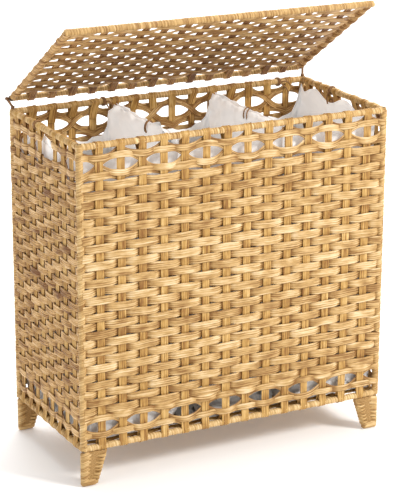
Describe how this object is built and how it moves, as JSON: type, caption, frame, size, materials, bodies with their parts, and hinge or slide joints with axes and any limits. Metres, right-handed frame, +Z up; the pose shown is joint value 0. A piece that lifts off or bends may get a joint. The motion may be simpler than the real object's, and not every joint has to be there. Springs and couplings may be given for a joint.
{
  "type": "woven laundry basket",
  "caption": "Rectangular woven laundry basket on short feet, with a hinged lid, side handle openings and cloth-lined compartments.",
  "frame": {"origin": "on the floor, at the middle of the object's footprint: midway across its width, and midway between the basket's front and the back of the lid's hinge tube", "axes": "+X to the basket's right as seen from its front, along the long front; +Y from the front to the back; +Z up"},
  "size_m": [0.6684, 0.337, 0.8705],
  "materials": {
    "wire": "satin",
    "hinge_wire": "satin",
    "weaver_strip": "satin",
    "stake_strip": "satin",
    "wrap_strip": "satin",
    "liner_cloth": "matte",
    "cord": "matte"
  },
  "bodies": {
    "basket": {"top_rim": "wire", "lower_rim": "wire", "top_rim_wrap": "wrap_strip", "lower_rim_wrap": "wrap_strip", "front_left_post": "wire", "front_right_post": "wire", "back_left_post": "wire", "back_right_post": "wire", "front_left_post_wrap": "wrap_strip", "front_right_post_wrap": "wrap_strip", "back_left_post_wrap": "wrap_strip", "back_right_post_wrap": "wrap_strip", "front_stakes": "stake_strip", "back_stakes": "stake_strip", "left_stakes": "stake_strip", "right_stakes": "stake_strip", "front_weave": "weaver_strip", "back_weave": "weaver_strip", "left_weave": "weaver_strip", "right_weave": "weaver_strip", "front_top_openwork": "wrap_strip", "back_top_openwork": "wrap_strip", "left_top_openwork": "wrap_strip", "right_top_openwork": "wrap_strip", "front_low_openwork": "wrap_strip", "back_low_openwork": "wrap_strip", "left_low_openwork": "wrap_strip", "right_low_openwork": "wrap_strip", "floor_bars": "wire", "floor_weave": "weaver_strip", "front_left_foot_wire": "wire", "front_right_foot_wire": "wire", "back_left_foot_wire": "wire", "back_right_foot_wire": "wire", "front_left_foot": "wrap_strip", "front_right_foot": "wrap_strip", "back_left_foot": "wrap_strip", "back_right_foot": "wrap_strip", "left_divider_bar": "wrap_strip", "right_divider_bar": "wrap_strip", "left_divider_posts": "wrap_strip", "right_divider_posts": "wrap_strip", "left_liner": "liner_cloth", "middle_liner": "liner_cloth", "right_liner": "liner_cloth", "left_liner_ties": "cord", "middle_liner_ties": "cord", "right_liner_ties": "cord", "left_hinge_arm": "hinge_wire", "right_hinge_arm": "hinge_wire"},
    "lid": {"lid_frame": "wire", "lid_stakes": "stake_strip", "lid_weave": "weaver_strip", "lid_front_wrap": "wrap_strip", "lid_back_wrap": "wrap_strip", "lid_left_wrap": "wrap_strip", "lid_right_wrap": "wrap_strip"}
  },
  "joints": [
    {"name": "lid_hinge", "type": "hinge", "parent": "basket", "child": "lid", "pos_m": [0, 0.162, 0.687], "axis": [-1, 0, 0], "range_deg": [-34.5, 70]}
  ]
}
